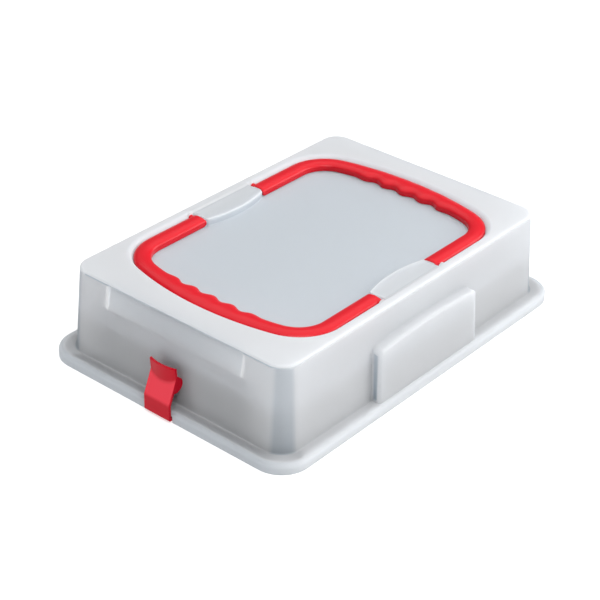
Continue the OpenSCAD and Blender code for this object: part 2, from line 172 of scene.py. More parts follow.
def grain_group():
    """The fine grain of a spark-eroded mould or of sprayed coating, as a height and a mask.

    Height is fine noise plus a share of broad waves; Speckle is 1 in scattered fine spots and 0
    between them."""
    broad_scale, broad_share, spot_start, spot_full = 28, 0.6, 0.62, 0.72
    group = bpy.data.node_groups.new("surface_grain", "ShaderNodeTree")
    for name, way in (("Grain Size", "INPUT"), ("Height", "OUTPUT"), ("Speckle", "OUTPUT")):
        group.interface.new_socket(name, in_out=way, socket_type="NodeSocketFloat")
    nodes, links = group.nodes, group.links
    start, end = nodes.new("NodeGroupInput"), nodes.new("NodeGroupOutput")
    place = nodes.new("ShaderNodeTexCoord")
    scale = nodes.new("ShaderNodeMath")
    scale.operation = "DIVIDE"
    scale.inputs[0].default_value = 1.0
    links.new(start.outputs["Grain Size"], scale.inputs[1])
    fine, broad = nodes.new("ShaderNodeTexNoise"), nodes.new("ShaderNodeTexNoise")
    fine.inputs["Detail"].default_value = 3
    broad.inputs["Scale"].default_value = broad_scale
    links.new(place.outputs["Object"], fine.inputs["Vector"])
    links.new(place.outputs["Object"], broad.inputs["Vector"])
    links.new(scale.outputs[0], fine.inputs["Scale"])
    both = nodes.new("ShaderNodeMath")
    both.operation = "MULTIPLY_ADD"
    both.inputs[1].default_value = broad_share
    links.new(broad.outputs["Fac"], both.inputs[0])
    links.new(fine.outputs["Fac"], both.inputs[2])
    links.new(both.outputs[0], end.inputs["Height"])
    spots = nodes.new("ShaderNodeMapRange")
    spots.inputs["From Min"].default_value = spot_start
    spots.inputs["From Max"].default_value = spot_full
    links.new(fine.outputs["Fac"], spots.inputs["Value"])
    links.new(spots.outputs["Result"], end.inputs["Speckle"])
    return group


surface_grain = grain_group()


def add_grain(tree, shader, size, depth):
    """Places the grain on a material: the bump that feeds Normal. Returns the group's node."""
    grain = tree.nodes.new("ShaderNodeGroup")
    grain.node_tree = surface_grain
    grain.inputs["Grain Size"].default_value = size
    bump = tree.nodes.new("ShaderNodeBump")
    bump.inputs["Strength"].default_value = 0.5
    bump.inputs["Distance"].default_value = depth
    tree.links.new(grain.outputs["Height"], bump.inputs["Height"])
    tree.links.new(bump.outputs["Normal"], shader.inputs["Normal"])
    return grain


nonstick, nonstick_tree, nonstick_shader = principled(
    "nonstick_coating", coating_black, roughness=0.42)
nonstick_grain = add_grain(nonstick_tree, nonstick_shader, size=0.0012, depth=0.00006)
flecks = colour_mix(nonstick_tree, nonstick_grain.outputs["Speckle"], coating_black, coating_fleck)
nonstick_tree.links.new(flecks, nonstick_shader.inputs["Base Color"])
nonstick_shader.inputs["Coat Weight"].default_value = 0.15
nonstick_shader.inputs["Coat Roughness"].default_value = 0.3

pan_trip = trip_round(np.linspace(-body_centre[1], body_centre[1], 15)[:, None],
                      np.linspace(-body_centre[0], body_centre[0], 23)[:, None])


def pan_row(centre, radius, z):
    """The pan's outline at one height, with corners of that radius about those centres."""
    x, y = round_outline(pan_trip, centre, radius)
    return np.column_stack([x, y, np.full(len(x), z)])


def pan_rows():
    """The pan's skin from the tip of the rolled rim to the middle of its base.

    The roll is an arc about its centre, the rim runs in to a fillet at the foot, and the wall leans
    in to the base along an arc of the base's radius."""
    roll_out = roll_at[0] - flange_centre[0]
    turn_z = rim_top + pan_depth - pan_base_r
    lean = math.atan(pan_draft)
    turn_at = pan_foot - (turn_z - rim_top) * pan_draft - pan_base_r / math.cos(lean)
    rows = [pan_row(flange_centre, roll_out + roll_r * np.cos(a), roll_at[1] + roll_r * np.sin(a))
            for a in arc_angles(roll_tip_degrees, 90, 17)]
    rows += [pan_row(body_centre, pan_foot + pan_fillet * (1 - np.sin(a)),
                     rim_top + pan_fillet * (1 - np.cos(a))) for a in arc_angles(0, 80, 6)]
    rows += [pan_row(body_centre, pan_foot - (z - rim_top) * pan_draft, z)
             for z in np.linspace(rim_top + 4, turn_z - 1, 5)]
    rows += [pan_row(body_centre, turn_at + pan_base_r * np.cos(a), turn_z + pan_base_r * np.sin(a))
             for a in np.linspace(lean, np.pi / 2, 7)]
    return rows + [rows[-1] * [share, share, 1] for share in (0.97, 0.7, 0.4, 0.1)]


pan = shell_of_rows("baking_pan", pan_rows(), nonstick)
pan_wall = pan.modifiers.new("sheet", "SOLIDIFY")
pan_wall.thickness = pan_sheet * MM
pan_wall.offset = -1
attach(pan, "base")
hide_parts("pan")

# Carrying hood
# The hood is one moulding of frosted polypropylene, 2 mm thick, that lets light through. Its
# rounded flange takes the pan's rim, blocks stand out of its long sides, and its top is sunk for
# the handles.
hood_height = 96.0
hood_wall = 2.0
flange_r = 30.0
flange_height = 10.0
lip_r = 3.5
wall_r = 24.0
wall_lean = math.tan(math.radians(4.1))
rim_r = 2.2
block_half = 74.5
block_out = 9.6
block_end_height = 63.5
block_arch = 4.0
block_lean = math.tan(math.radians(3.2))
block_side_lean = 0.035
block_edge = 3.0
block_corner = 3.5
block_fillet = 1.1
block_fillet_share = 0.125
block_top_round = 2.4
block_back_round = 1.6
short_side_ledge = 60.0
band_half = 81.0
band_low = 68.0
band_depth = 2.6
band_high = 92.6
band_slope = 1.8
groove_steps = ((0.9, 0.35, 0.25), (0.2, 0.4, 0.6), (0.0, 0.3, 0.9), (0.0, 0.0, 1.3))
notch_half = 16.1
notch_height = 6.6
notch_rise = 0.1
notch_last_rise = 0.66
well_half = (160.935, 116.035)
well_edge = 5.0
well_corner_r = 46.7
well_bow_r = 310.0
floor_height = 86.8
floor_fillet = 1.2
island_half = 39.8
island_width = 17.6
island_bulge = 6.0
island_height = 94.6
island_edge = 1.5
island_round = 1.6
island_border = 3.6
island_dish = 0.5
plain_levels = (91.0, 88.99, 88.86, 88.7)
plain_step = 0.4
plastic_white = (0.95, 0.96, 0.97)
thin_white = (0.865, 0.876, 0.89)
thin_cool = (0.9, 0.94, 0.975)
painted_shade_blue = (0.42, 0.5, 0.57)
# Looks: how much more light passes, how bluish the plastic is and how much painted shade darkens
# it. The shelf has a border and a painted shade for a short side, a long side and a corner.
rim_look = (0, 0, 0)
dish_look = (0.7, 0.25, 0)
floor_look = (1, 1, 0)
shelf_border = (0.1, 0.34, 0.22)
shelf_painted_shade = (2.2, 0.8, 1.2)
# Painted shade: how darkly the tint is shaded down the corners, on the block's end faces, in the
# groove under the rim (a painted shadow line) and on the islands' edges.
corner_shade_amount = 0.45
block_end_shade_amount = 0.75
groove_shadow_amount = 0.55
island_shade_amount = 0.22
# Painted highlight down the slopes at the band's ends: its half width, its offset out past the
# band's end, and how much less light passes there.
highlight_half = 2.6
highlight_out = 0.7
highlight_drop = 2.8


def mirrored_stations(rows):
    """Stations from 0 outwards, repeated the other way with the place's sign changed."""
    rows = np.array(rows, float)
    back = rows[::-1].copy()
    back[:, 0] *= -1
    return np.concatenate([back[:-1] if rows[0, 0] == 0 else back, rows])


def long_side_stations():
    """Stations along a long side, with the block's and the island's share at each.

    Where an edge is round, the share follows a quarter circle. Where a face stands square to the
    side, several shares lie a few hundredths of a millimetre apart."""
    quarter = arc_angles(0, 90, 6)
    rows = [[x, 1, 1] for x in np.arange(0, 38, 6.3)]
    rows += [[island_half - island_edge * (1 - math.sin(a)), 1,
              1 - island_edge * (1 - math.cos(a)) / island_width] for a in quarter]
    rows += [[island_half + gap, 1, share]
             for gap, share in ((0.03, 0.7), (0.06, 0.45), (0.09, 0.2), (0.12, 0.0))]
    rows += [[x, 1, 0] for x in np.linspace(43, block_half - block_edge - 1, 6)]
    rows += [[block_half - block_edge * (1 - math.sin(a)),
              1 - block_edge * (1 - math.cos(a)) / block_out, 0] for a in quarter]
    rows += [[block_half + gap, share, 0] for gap, share in ((0.04, 0.5), (0.08, 0.3))]
    rows += [[block_half + 0.12 + block_fillet * (1 - math.cos(a)),
              block_fillet_share * (1 - math.sin(a)), 0] for a in quarter]
    rows += [[x, 0, 0] for x in np.linspace(fixed_to[0], body_centre[0], 13)]
    return [[x, block, island, 0, 0] for x, block, island in rows]


def short_side_stations():
    """Stations along a short side, with the band's share and the notch's share at each.

    Across the slope at the band's end its share is one less the square of the way across times
    three less twice that way."""
    rows = [[y, 1, 1] for y in (0, 5, 10, 14, notch_half)] + [[notch_half + 0.3, 1, 0]]
    rows += [[y, 1, 0] for y in np.linspace(20, band_half - 2, 9)]
    rows += [[band_half - band_slope / 2 + band_slope * t, 1 - t * t * (3 - 2 * t), 0]
             for t in np.linspace(0, 1, 8)]
    rows += [[y, 0, 0] for y in (83, *np.linspace(85, body_centre[1], 4))]
    return [[y, 0, 0, band, notch] for y, band, notch in rows]


hood_trip = trip_round(mirrored_stations(short_side_stations()),
                       mirrored_stations(long_side_stations()))
side, angle, station = hood_trip[:, :3].T
block, island, band, notch = hood_trip[:, 3:].T
reach = np.abs(station)
short, straight, on_island = side % 2 == 0, angle == 0, island > 0


def ramp(value, start, end):
    """0 up to start, 1 from end on, and an even rise between them."""
    return np.clip((value - start) / (end - start), 0, 1)


def wall_radius(z):
    """Corner radius of the drafted wall, less by the lean times the height over the flange."""
    return wall_r - (z - flange_height) * wall_lean


def block_top_height():
    """Height of the block's top at each place: an arch that ends in rounded corners.

    The arch is part of a circle whose radius is the half length squared over twice the rise, plus
    half the rise. It lies below its middle by that radius less the root of the radius squared less
    the distance squared, and the corners lower it in the same way past their start. On the short
    sides the same rows lie at one height."""
    crown = block_half**2 / (2 * block_arch) + block_arch / 2
    along = np.minimum(reach, block_half)
    arch = block_end_height + block_arch - crown + np.sqrt(crown**2 - along**2)
    past = np.clip(along - (block_half - block_corner), 0, block_corner)
    arch = arch - block_corner + np.sqrt(block_corner**2 - past**2)
    return np.where(short, short_side_ledge, arch)


def island_reach():
    """How far an island reaches in from the side: a shallow arc, widest in the middle.

    The arc's radius is the half length squared plus the bulge squared, over twice the bulge."""
    radius = (island_half**2 + island_bulge**2) / (2 * island_bulge)
    along = np.minimum(reach, island_half)
    return island * (island_width + island_bulge - radius + np.sqrt(radius**2 - along**2))


# Shapes at each place: the block's foot, lean, top and the roundings above and behind it, and how
# far the island reaches.
foot_fillet = 0.9 - 0.4 * block
foot_out = wall_r + block_out * block
face_lean = wall_lean + (block_lean - wall_lean) * block
block_top = block_top_height()
ledge_depth = foot_out - (block_top - flange_height) * face_lean - wall_radius(block_top)
top_round = np.minimum(block_top_round, 0.45 * ledge_depth)
back_round = np.minimum(block_back_round, 0.4 * ledge_depth)
side_lean_share = ramp(reach, 55, 67) * ramp(reach, 82, 77) * (~short & straight)
island_in = island_reach()

# Shares for the plastic's looks: corner_share is 1 amid a corner, long_share runs from 0 on a short
# side through the corner to 1 on a long side, middle_share is 1 amid a short side, and the painted
# shade shares give a painted shaded band down each corner, weaker higher up, and painted shade on
# the block's end faces.
corner_share = np.sin(angle * 2)
long_share = np.where(short, angle, np.pi / 2 - angle) / (np.pi / 2)
short_share = 1 - long_share
along_short = np.where(short & straight, reach, body_centre[1])
middle_share = ramp(along_short, 106, 80)
corner_painted_shade = corner_shade_amount * ~straight * ramp(np.abs(long_share - 0.51), 0.33, 0.24)
upper_painted_shade = 0.6 * corner_painted_shade
block_end = ~short & (block > 0.2) & (block < 0.6)


def well_outline(inset):
    """The trip's points on the outline of the sunken top, moved inwards by inset.

    The short sides are arcs of the bow's radius, the long sides are straight, and each corner is an
    arc that touches both: the distance of its centre from the bow's centre is the bow's radius less
    the corner's."""
    r, bow = well_corner_r - inset, well_bow_r - inset
    bow_x = well_half[0] - well_bow_r
    cy = well_half[1] - inset - r
    cx = bow_x + np.sqrt((bow - r) ** 2 - cy**2)
    meet = np.arcsin(cy / (bow - r))
    swing = meet * station / reach[short].max()
    on_long = (np.pi / 2 - meet) * angle / (np.pi / 2)
    on_short = meet + on_long
    out_short = np.where(straight, bow_x + bow * np.cos(swing), cx + r * np.cos(on_short))
    along_bow = np.where(straight, bow * np.sin(swing), cy + r * np.sin(on_short))
    out_long = cy + r * np.cos(on_long)
    along_long = np.where(straight, stretched(station, fixed_to[0], body_centre[0], cx), cx)
    return turned(side, np.where(short, out_short, out_long),
                  np.where(short, along_bow, along_long + r * np.sin(on_long)))


def body_line(radius):
    """The trip's points on the body's outline, with corners of that radius."""
    return round_outline(hood_trip, body_centre, radius)


def between(first, second, share):
    """Points that lie that share of the way from the first ones to the second."""
    return [a + (b - a) * share for a, b in zip(first, second)]


def by_side(on_short, on_long, on_corner):
    """A value for each kind of side, blended by the corner's share into the corner's own value."""
    return np.where(short, on_short, on_long) * (1 - corner_share) + on_corner * corner_share


def flange_rows():
    """The flange's upright side and its rounded lip, then the shelf that runs in to the wall.

    At the notch the rows lie just over its top edge, each a little higher than the last. Inside its
    border the shelf lets more light through, so that it looks darker there: painted shade along the
    wall's foot. The upright side and lip carry painted shade, more on the short sides."""
    low = notch_height * notch
    # Painted shade on the upright side and lip, darker on the short sides.
    look = (0.3 + 1.1 * short_share, 0, 0.1 + 0.13 * short_share)
    for z in (0, 2, 4.5, flange_height - lip_r):
        yield (round_outline(hood_trip, flange_centre, flange_r),
               np.maximum(low + notch_rise * z * notch, z), look)
    for a in arc_angles(0, 90, 8)[1:]:
        line = round_outline(hood_trip, flange_centre, flange_r - lip_r + lip_r * math.cos(a))
        z = flange_height - lip_r + lip_r * math.sin(a)
        yield line, np.maximum(low + notch_last_rise * notch, z), look
    start = round_outline(hood_trip, flange_centre, flange_r - lip_r)
    end = body_line(foot_out + foot_fillet)
    border, dark = by_side(*shelf_border), by_side(*shelf_painted_shade)
    for share, sheer in ((border - 0.06, 0.4), (border + 0.06, 1), (border + 0.4, 1), (0.9, 0.9)):
        yield between(start, end, share), flange_height, (sheer * dark, 0, 0)


def wall_rows():
    """The wall from its foot to the block's arched top, and the ledge behind that top.

    Beside the block the ledge's rows go on up the plain wall, a small step apart."""
    for a in arc_angles(0, 86, 6):
        z = flange_height + foot_fillet * (1 - math.cos(a))
        radius = foot_out + foot_fillet * (1 - math.sin(a)) - (z - flange_height) * face_lean
        yield body_line(radius), z, (1, 0, corner_painted_shade)
    face_end = block_top - top_round
    # Painted shade on the face: the band down each corner and the block's end faces, lighter
    # towards the top.
    face_painted_shade = corner_painted_shade + block_end_shade_amount * block_end
    for share in np.linspace(0.06, 1, 9):
        z = flange_height + foot_fillet + (face_end - flange_height - foot_fillet) * share
        look = (1 + 0.8 * middle_share * (0.8 + 0.4 * share), 0, face_painted_shade * (1 - 0.4 * share))
        yield body_line(foot_out - (z - flange_height) * face_lean), z, look
    edge_at = foot_out - (face_end - flange_height) * face_lean - top_round
    ledge_end = wall_radius(block_top + back_round) + back_round
    ledge = [(edge_at + top_round * math.cos(a), face_end + top_round * math.sin(a))
             for a in arc_angles(15, 90, 6)]
    ledge += [(edge_at + (ledge_end - edge_at) * share, block_top) for share in (0.35, 0.7)]
    ledge += [(ledge_end - back_round * math.sin(a), block_top + back_round * (1 - math.cos(a)))
              for a in arc_angles(0, 90, 5)]
    for number, (radius, z) in enumerate(ledge):
        plain_z = block_top + plain_step * (number + 1)
        line = body_line(np.where(block == 0, wall_radius(plain_z), radius))
        yield line, np.where(block == 0, plain_z, z), (1 + middle_share, 0, upper_painted_shade)


def band_rows():
    """The upper wall, with the band that sinks into the short sides and a fine groove over it.

    The slopes at the band's ends carry a painted highlight, and the band is painted lighter towards
    its ends; the groove's rows carry a painted shadow, the dark line under the rim. Each step of
    the groove has the share of the band's depth, the groove's depth and the rise over the band."""
    # Painted light: less light passes towards the band's ends, so they look lighter, and a painted
    # highlight runs down each end's slope.
    off_line = np.abs(along_short - band_half - highlight_out)
    band_end_highlight = highlight_drop * np.clip(highlight_half - off_line, 0, 1)
    band_painted_light = band * (0.7 - 1.2 * (along_short / band_half) ** 2) - band_end_highlight
    start = np.maximum(band_low, block_top + back_round + 2)
    for share in (0.0, 0.12, 0.25, 0.4, 0.55, 0.7, 0.85, 1.0):
        z = start + (band_high - start) * share
        sheer = 1 + (middle_share if share == 0 else band_painted_light)
        look = (sheer, 0.35 * band * min(1, 3 * share), upper_painted_shade)
        yield body_line(wall_radius(z) - band_depth * band * share), z, look
    for sunk, groove, rise in groove_steps:
        z = band_high + rise
        radius = wall_radius(z) - band_depth * band * sunk - groove
        # Painted shadow on the short sides: a dark line under the rim.
        yield body_line(radius), z, (0.6, 0, groove_shadow_amount * short * short_share)


def rim_rows():
    """The rounded outer edge of the top, its flat rim, and the rounded edge of the sunken part."""
    turn_at = wall_radius(hood_height - rim_r) - rim_r
    for a in arc_angles(4, 90, 9)[1:]:
        yield (body_line(turn_at + rim_r * math.cos(a)),
               hood_height - rim_r + rim_r * math.sin(a), rim_look)
    start, end = body_line(turn_at), well_outline(-well_edge)
    for share in (0.25, 0.5, 0.75, 0.97):
        yield between(start, end, share), hood_height, rim_look
    for a in arc_angles(0, 90, 10):
        z = hood_height - well_edge * (1 - math.cos(a))
        z = np.where(on_island, np.maximum(z, island_height), z)
        # Where there is an island, the last rows carry a little painted shade.
        look = (0.4 * island, 0.3 * (1 - island) * math.cos(a), 0.15 * island * (a > 0.9))
        yield well_outline(-well_edge * (1 - math.sin(a))), z, look


def island_rows():
    """The islands' tops, dished inside a raised border, and the rounded edge of that border.

    Where there is no island, the same rows run close together down the side of the sunken top,
    from one plain level to the next."""
    edge = np.minimum(island_round, 0.4 * island_in)
    border = np.minimum(island_border, 0.5 * island_in)
    dish = island_dish * on_island
    for share in (0.05, 0.35, 0.7, 1.0):
        dip = dish * math.sin(math.pi / 2 * min(1, share * 3))
        z = np.where(on_island, island_height, plain_levels[0] - 2 * share) - dip
        yield well_outline((island_in - border) * share), z, dish_look
    for share in (0.35, 0.7):
        rise = dish * (1 - math.sin(math.pi / 2 * share))
        z = np.where(on_island, island_height - rise, plain_levels[1] - 0.1 * share)
        line = well_outline(island_in - border + (border - edge) * share)
        yield line, z, (0.7 - 0.9 * share, 0.2, 0)
    for a in arc_angles(0, 90, 7):
        over = 1 - math.cos(a)
        z = np.where(on_island, island_height - edge * over, plain_levels[2] - 0.08 * a)
        line = well_outline(island_in - edge * (1 - math.sin(a)))
        # Painted shade on the border's rounded edge, deepening as it turns down.
        yield line, z, (0.3 * over, 0.2, island_shade_amount * island * over**2)


def floor_rows():
    """The islands' upright sides, the fillet at their foot, and the sunken floor."""
    for z in np.linspace(island_height - island_round, floor_height + floor_fillet, 3)[1:]:
        # Painted shade on the islands' upright sides.
        yield (well_outline(island_in), np.where(on_island, z, np.minimum(z, plain_levels[3])),
               (1, 0.6, island_shade_amount * island))
    for a in arc_angles(0, 90, 5)[1:]:
        yield (well_outline(island_in + floor_fillet * (1 - math.cos(a))),
               floor_height + floor_fillet * (1 - math.sin(a)), floor_look)
    for inset in (27, 36):
        yield well_outline(inset), floor_height, floor_look


def hood_rows():
    """The hood's outer skin from the flange's bottom edge to the middle of the sunken floor.

    Each row is the trip at one place on the hood's section; the block, island, band and notch move
    a row's radius or height by their share at each station. The block's ends lean towards each
    other by the lean times the height over the flange. The looks are three values at each point:
    how much light passes, how bluish the plastic is, and how much painted shade darkens it."""
    rows, looks = [], []
    ones = np.ones(len(side))
    for part in (flange_rows, wall_rows, band_rows, rim_rows, island_rows, floor_rows):
        for (x, y), z, look in part():
            z = z * ones
            rise = np.minimum(z, block_top) - flange_height
            slant = np.sign(x) * block_side_lean * rise * side_lean_share
            rows.append(np.column_stack([x - np.where(z > flange_height, slant, 0), y, z]))
            looks.append(np.column_stack([value * ones for value in look]))
    middle = rows[-1]
    for share in (0.75, 0.5, 0.25, 0.05):
        rows.append(middle * [share, share, 1])
        looks.append(looks[-1])
    return rows, np.concatenate([*looks, looks[-1][:1]])


def set_point_values(piece, name, values):
    """Stores a number at each point of a piece, for its material to read."""
    piece.data.attributes.new(name, "FLOAT", "POINT").data.foreach_set("value", values)


def point_value(tree, name):
    """The output that gives a material the number stored at each point under that name."""
    node = tree.nodes.new("ShaderNodeAttribute")
    node.attribute_name = name
    return node.outputs["Fac"]


frosted, frosted_tree, frosted_shader = principled(
    "frosted_polypropylene", plastic_white, roughness=0.46)
add_grain(frosted_tree, frosted_shader, size=0.0009, depth=0.00004)
frosted_shader.inputs["IOR"].default_value = 1.45
see_through = frosted_tree.nodes.new("ShaderNodeBsdfTranslucent")
frosted_mix = frosted_tree.nodes.new("ShaderNodeMixShader")
sheer_share = frosted_tree.nodes.new("ShaderNodeMapRange")
sheer_share.clamp = False
sheer_share.inputs["To Min"].default_value = 0.6
sheer_share.inputs["To Max"].default_value = 0.7
thin_tint = colour_mix(frosted_tree, point_value(frosted_tree, "cool"), thin_white, thin_cool)
# Painted shade: the painted_shade value darkens the tint towards a grey blue.
plastic_tint = colour_mix(frosted_tree, point_value(frosted_tree, "painted_shade"), thin_tint, painted_shade_blue)
for output, target in (
        (point_value(frosted_tree, "sheer"), sheer_share.inputs["Value"]),
        (plastic_tint, frosted_shader.inputs["Base Color"]),
        (plastic_tint, see_through.inputs["Color"]),
        (sheer_share.outputs["Result"], frosted_mix.inputs["Fac"]),
        (frosted_shader.outputs[0], frosted_mix.inputs[1]),
        (see_through.outputs[0], frosted_mix.inputs[2]),
        (frosted_mix.outputs[0], frosted_tree.nodes["Material Output"].inputs["Surface"])):
    frosted_tree.links.new(output, target)

hood_surface, hood_looks = hood_rows()
hood = shell_of_rows("carrying_hood", hood_surface, frosted, sharp=40)
for name, values in zip(("sheer", "cool", "painted_shade"), hood_looks.T):
    set_point_values(hood, name, values.copy())
hood_skin = hood.modifiers.new("wall", "SOLIDIFY")
hood_skin.thickness = hood_wall * MM
hood_skin.offset = -1
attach(hood, "base")
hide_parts("lid")

# Hinge eyes
# Beside each arm end a short round boss, moulded with the hood, grows out of the side of the
# sunken top and holds the handle's pin. Its upper part shows in the rounded edge of the rim.
hinge_x = 45.0
hinge_z = 91.5
eye_r = 4.4
eye_bore = 3.06
eye_start = 0.6
eye_end = 4.8
eye_back = 0.8
eye_round = 0.4
eye_bevel = 0.1


def tube(grid):
    """A grid of closed rows with a flat face over each end, as points and faces."""
    count, places = grid.shape[:2]
    faces = ring_faces(count, places).tolist()
    faces.append(list(range(places))[::-1])
    faces.append([(count - 1) * places + i for i in range(places)])
    return grid.reshape(-1, 3), faces


def round_bar(centre, section, places, way=1):
    """A round piece along Y, as points and faces, from pairs of radius and y.

    Each pair gives a circle: x is the centre's plus the radius times the cosine of the turn, and z
    the centre's plus the radius times its sine. It turns backwards where y rises (way 1) and
    forwards where y falls (way -1), so that the faces look outwards."""
    turn = -way * np.linspace(0, 2 * np.pi, places, endpoint=False)
    return tube(np.stack([np.column_stack([centre[0] + r * np.cos(turn), np.full(places, y),
                                           centre[1] + r * np.sin(turn)]) for r, y in section]))


def joined(parts):
    """Several lots of points and faces as one lot."""
    points, faces, start = [], [], 0
    for some_points, some_faces in parts:
        points.append(some_points)
        faces += [[start + int(i) for i in face] for face in some_faces]
        start += len(some_points)
    return np.concatenate(points), faces


def hinge_eye(x, way):
    """One boss with its blind bore: out of the bore, over the rounded ring, and along the boss."""
    start, end = way * (well_half[1] + eye_start), way * (well_half[1] + eye_end)
    section = [(eye_bore, end - way * eye_back), (eye_bore, start), (eye_r - eye_round, start),
               (eye_r - eye_bevel, start + way * eye_bevel), (eye_r, start + way * eye_round),
               (eye_r, end)]
    return round_bar((x, hinge_z), section, 48, way)


eye_points, eye_faces = joined([hinge_eye(x, way) for x in (-hinge_x, hinge_x) for way in (-1, 1)])
eyes = surface("hinge_eyes", eye_points, eye_faces, frosted)
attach(eyes, "base")

# Clip bars on the hood
# At each short side two ribs of the hood carry a round bar, which the clip snaps over and turns
# on. Ribs and bar are moulded with the hood, in the same frosted plastic.
clip_pivot = (199.0, 35.5)
bar_r = 2.2
bar_half = 13.5
bar_round = 0.3
rib_at = (6.8, 9.2)
rib_r = 3.4
rib_sunk = 1.0


def blunt_bar(centre, radius, low, high):
    """A round bar along Y, as points and faces, with a small round at each end."""
    quarter = np.linspace(0, np.pi / 2, 4)
    inset = bar_round * (1 - np.cos(quarter))
    grown = radius - bar_round * (1 - np.sin(quarter))
    return round_bar(centre, [*zip(grown, low + inset), *zip(grown[::-1], high - inset[::-1])], 40)


def slab(outline, low, high):
    """A flat slab, as points and faces: an outline in x and z, anticlockwise, along Y."""
    outline = np.asarray(outline, float)
    return tube(np.stack([np.column_stack([outline[:, 0], np.full(len(outline), y), outline[:, 1]])
                          for y in (high, low)]))


def clip_mount():
    """The bar with its two ribs, each a round eye on a short arm that grows out of the wall."""
    x, z = clip_pivot
    half_turn = arc_angles(-90, 90, 13)
    eye = np.column_stack([x + rib_r * np.cos(half_turn), z + rib_r * np.sin(half_turn)])
    root = wall_radius(z) + body_centre[0] - rib_sunk
    outline = np.concatenate([eye, [[root, z + rib_r], [root, z - rib_r]]])
    ribs = [slab(outline, low, high) for low, high in (rib_at, (-rib_at[1], -rib_at[0]))]
    return joined([blunt_bar(clip_pivot, bar_r, -bar_half, bar_half), *ribs])


for name, way in (("clip_bar_left", -1), ("clip_bar_right", 1)):
    points, faces = clip_mount()
    bar = surface(name, points * [way, way, 1], faces, frosted)
    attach(bar, "base")

# Carrying handles
# Each handle is one glossy red moulding: two arms, rounded corners and a bowed grip with finger
# waves on its inner edge. Pins at the arm ends turn in the side walls of the sunken top.
handle_gap = 0.7
handle_thick = 8.5
handle_low = 87.1
handle_shoulder = 5.4
handle_under_r = 0.9
arm_width = 16.6
arm_past = 3.5
arm_drop = 1.2
drop_from = 1.6
grip_swell = 4.7
wave_pitch = 24.5
wave_height = 1.85
wave_fade = 14
hinge_up = 4.4
pin_r = 3.0
pin_length = 4.0
pin_root = 2
far_from_pin = -60.0
handle_red = (0.56, 0.006, 0.015)


def handle_path():
    """Stations along the left handle's outer edge: x, y, outward x, outward y, width, past.

    The edge is a straight arm, an arc round the corner's centre, the arc of the bowed grip, and the
    same back. past is how far a station lies beyond the hinge pin. The grip's width is the arm's,
    plus a swell that falls off as half of one plus the cosine towards the grip's ends, plus waves,
    which are the cosine of the turns that the distance makes at one turn a pitch."""
    r, bow = well_corner_r - handle_gap, well_bow_r - handle_gap
    bow_x = well_half[0] - well_bow_r
    outer_y = well_half[1] - handle_gap
    cy = outer_y - r
    cx = bow_x + math.sqrt((bow - r) ** 2 - cy**2)
    meet = math.asin(cy / (bow - r))
    past = np.array([arm_past, 3.2, 2.7, 2.0, 1.0, 0.0, -6.0, -12.0, -28.0, -44.0])
    flat = np.zeros_like(past)
    arm = np.column_stack([-hinge_x + past, flat - outer_y, flat, flat - 1, flat + arm_width, past])
    angle = np.pi * 1.5 - np.linspace(0, np.pi / 2 - meet, 22)
    flat = np.zeros_like(angle)
    corner = np.column_stack([-cx + r * np.cos(angle), -cy + r * np.sin(angle), np.cos(angle),
                              np.sin(angle), flat + arm_width, flat + far_from_pin])
    angle = np.pi + meet * np.linspace(1, -1, 151)[1:-1]
    y = bow * np.sin(angle)
    size = np.abs(y)
    last = 2 * wave_pitch
    swell = grip_swell * (1 + np.cos(np.pi * size / (bow * math.sin(meet)))) / 2
    fade = (1 + np.cos(np.pi * np.clip((size - last) / wave_fade, 0, 1))) / 2
    wave = np.where(size <= last, np.cos(2 * np.pi * y / wave_pitch), fade)
    grip = np.column_stack([-bow_x + bow * np.cos(angle), y, np.cos(angle), np.sin(angle),
                            arm_width + swell + wave_height * wave, 0 * y + far_from_pin])
    first = np.concatenate([arm, corner])
    return np.concatenate([first, grip, first[::-1] * [1, -1, 1, -1, 1, 1]])


def handle_section(width, low, top):
    """The handle's section at each station: distance in from the outer edge and height.

    Round lower edges, upright sides, and a crown that follows a half ellipse from edge to edge."""
    quarter = np.linspace(0, 1, 4) * np.pi / 2
    inwards = handle_under_r * (1 - np.sin(quarter))
    upwards = handle_under_r * (1 - np.cos(quarter))
    shoulder = np.minimum(handle_shoulder, top - 0.8) - 0.6
    half_way = low + (shoulder - low) * 0.55
    crown = 0.5 - 0.5 * np.cos(np.linspace(0, np.pi, 21))
    ridge = np.sqrt(1 - (2 * crown - 1) ** 2)
    across = [step + 0 * width for step in inwards] + [0 * width]
    across += [share * width for share in crown] + [width]
    across += [width - step for step in inwards[::-1]]
    height = [low + step for step in upwards] + [half_way]
    height += [shoulder + (top - shoulder) * rise for rise in ridge] + [half_way]
    height += [low + step for step in upwards[::-1]]
    return np.stack(across, 1), np.stack(height, 1)


def handle_body():
    """The section carried along the path, with the arm ends rounded so that they clear the floor.

    Past the pin the underside follows a circle about the hinge: it rises by the hinge's height less
    the root of that height squared less the distance squared. The top drops with the square of the
    share of the way to the arm's end."""
    path = handle_path()
    past = np.maximum(path[:, 5], 0)
    low = hinge_up - np.sqrt(hinge_up**2 - past**2)
    top = handle_thick - arm_drop * ramp(past, drop_from, arm_past) ** 2
    across, height = handle_section(path[:, 4], low, top)
    x = path[:, 0:1] - path[:, 2:3] * across
    y = path[:, 1:2] - path[:, 3:4] * across
    return tube(np.stack([x, y, handle_low + height], -1))


red_gloss, red_tree, red_shader = principled("red_handle_plastic", handle_red, roughness=0.3)
add_grain(red_tree, red_shader, size=0.0015, depth=0.00003)
red_shader.inputs["Specular IOR Level"].default_value = 0.25

